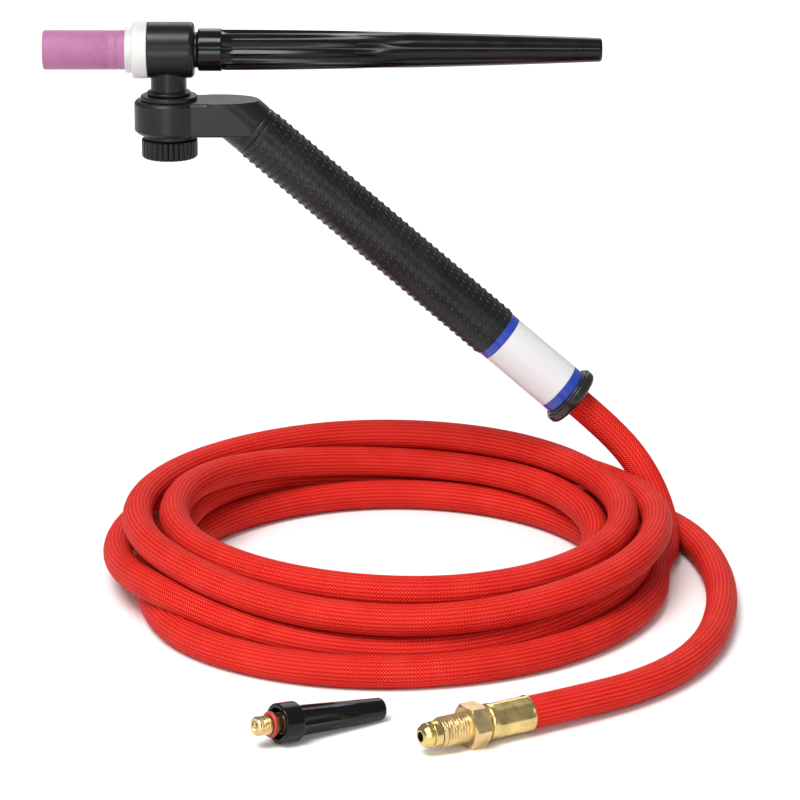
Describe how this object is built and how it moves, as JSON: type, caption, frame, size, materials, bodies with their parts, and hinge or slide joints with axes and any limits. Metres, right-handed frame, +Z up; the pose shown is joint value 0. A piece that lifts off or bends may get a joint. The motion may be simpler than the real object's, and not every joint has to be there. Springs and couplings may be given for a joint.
{
  "type": "tig torch",
  "caption": "Gas-cooled TIG torch with a swivelling head locked by a knob, screw-on cup and back cap, textured grip, and a coiled braided hose with a threaded nipple end.",
  "frame": {"origin": "middle of the grip, on the handle's axis", "axes": "+X from the cup towards the back cap, +Z up along the head's swivel axis, the handle hangs 40.9 degrees below +X"},
  "size_m": [0.2364, 0.2777, 0.183],
  "materials": {
    "arm_moulding": "satin moulded phenolic",
    "head_moulding": "satin moulded phenolic",
    "gloss_moulding": "polished black moulding",
    "cup_ceramic": "fired alumina, unglazed",
    "gasket_white": "smooth white",
    "grip_rubber": "textured with rows of dots",
    "label_sleeve": "white with a blue band at each end",
    "ring_rubber": "smooth",
    "tube_plastic": "plain",
    "hose_braid": "braided cover",
    "ferrule_brass": "bright",
    "nut_brass": "machined",
    "insert_brass": "machined",
    "copper_parts": "copper",
    "tungsten": "ground",
    "seal_rubber": "silicone"
  },
  "bodies": {
    "handle": {"arm_body": "arm_moulding", "knuckle_bush": "insert_brass", "knuckle_cap_ring": "arm_moulding", "conductor_tube": "copper_parts", "tube_coupling": "insert_brass", "handle_tube": "tube_plastic", "grip_sleeve": "grip_rubber", "label_sleeve": "label_sleeve", "end_ring": "ring_rubber", "front_nipple": "ferrule_brass", "front_ferrule": "ferrule_brass", "hose_root": "hose_braid", "hose_lead": "hose_braid", "hose_coil": "hose_braid", "hose_tail": "hose_braid", "hose_ferrule": "ferrule_brass", "hose_nut": "nut_brass", "hose_nipple": "ferrule_brass"},
    "head": {"head_shell": "head_moulding", "head_core": "insert_brass", "post_washer": "head_moulding", "spindle_o_rings": "seal_rubber", "collet_body": "copper_parts"},
    "gasket": {"cup_gasket": "gasket_white"},
    "cup": {"ceramic_cup": "cup_ceramic"},
    "split_collet": {"collet": "copper_parts"},
    "tungsten": {"electrode": "tungsten"},
    "back_cap": {"long_cap_body": "gloss_moulding", "long_cap_insert": "insert_brass", "long_cap_o_ring": "seal_rubber"},
    "washer": {"clamp_washer": "arm_moulding"},
    "knob": {"lock_knob": "gloss_moulding", "knob_insert": "insert_brass"},
    "spare_cap": {"spare_cap_body": "gloss_moulding", "spare_cap_insert": "insert_brass", "spare_cap_o_ring": "seal_rubber"}
  },
  "joints": [
    {"name": "head_swivel", "type": "hinge", "parent": "handle", "child": "head", "pos_m": [-0.07217, 0, 0.0419], "axis": [0, 0, 1], "continuous": true},
    {"name": "clamp_travel", "type": "slide", "parent": "head", "child": "washer", "axis": [0, 0, -1], "range_m": [0, 0.0015]},
    {"name": "knob_turn", "type": "hinge", "parent": "washer", "child": "knob", "pos_m": [-0.07217, 0, 0.0269], "axis": [0, 0, -1], "range_deg": [0, 540]},
    {"name": "cap_travel", "type": "slide", "parent": "head", "child": "split_collet", "axis": [1, 0, 0], "range_m": [0, 0.004]},
    {"name": "cap_turn", "type": "hinge", "parent": "split_collet", "child": "back_cap", "pos_m": [-0.05217, 0, 0.0651], "axis": [1, 0, 0], "range_deg": [0, 1440]},
    {"name": "electrode_slide", "type": "slide", "parent": "split_collet", "child": "tungsten", "axis": [-1, 0, 0], "range_m": [-0.005, 0.012]},
    {"name": "cup_travel", "type": "slide", "parent": "head", "child": "gasket", "axis": [-1, 0, 0], "range_m": [0, 0.004]},
    {"name": "cup_turn", "type": "hinge", "parent": "gasket", "child": "cup", "pos_m": [-0.09217, 0, 0.0651], "axis": [-1, 0, 0], "range_deg": [0, 1440]},
    {"name": "spare_cap_lift", "type": "slide", "parent": "handle", "child": "spare_cap", "axis": [0, 0, 1], "range_m": [0, 0.12]}
  ],
  "couplings": [
    {"joint": "clamp_travel", "follows": "knob_turn", "m_per_rad": 0.00015915},
    {"joint": "cap_travel", "follows": "cap_turn", "m_per_rad": 0.00015915},
    {"joint": "cup_travel", "follows": "cup_turn", "m_per_rad": 0.00015915}
  ]
}
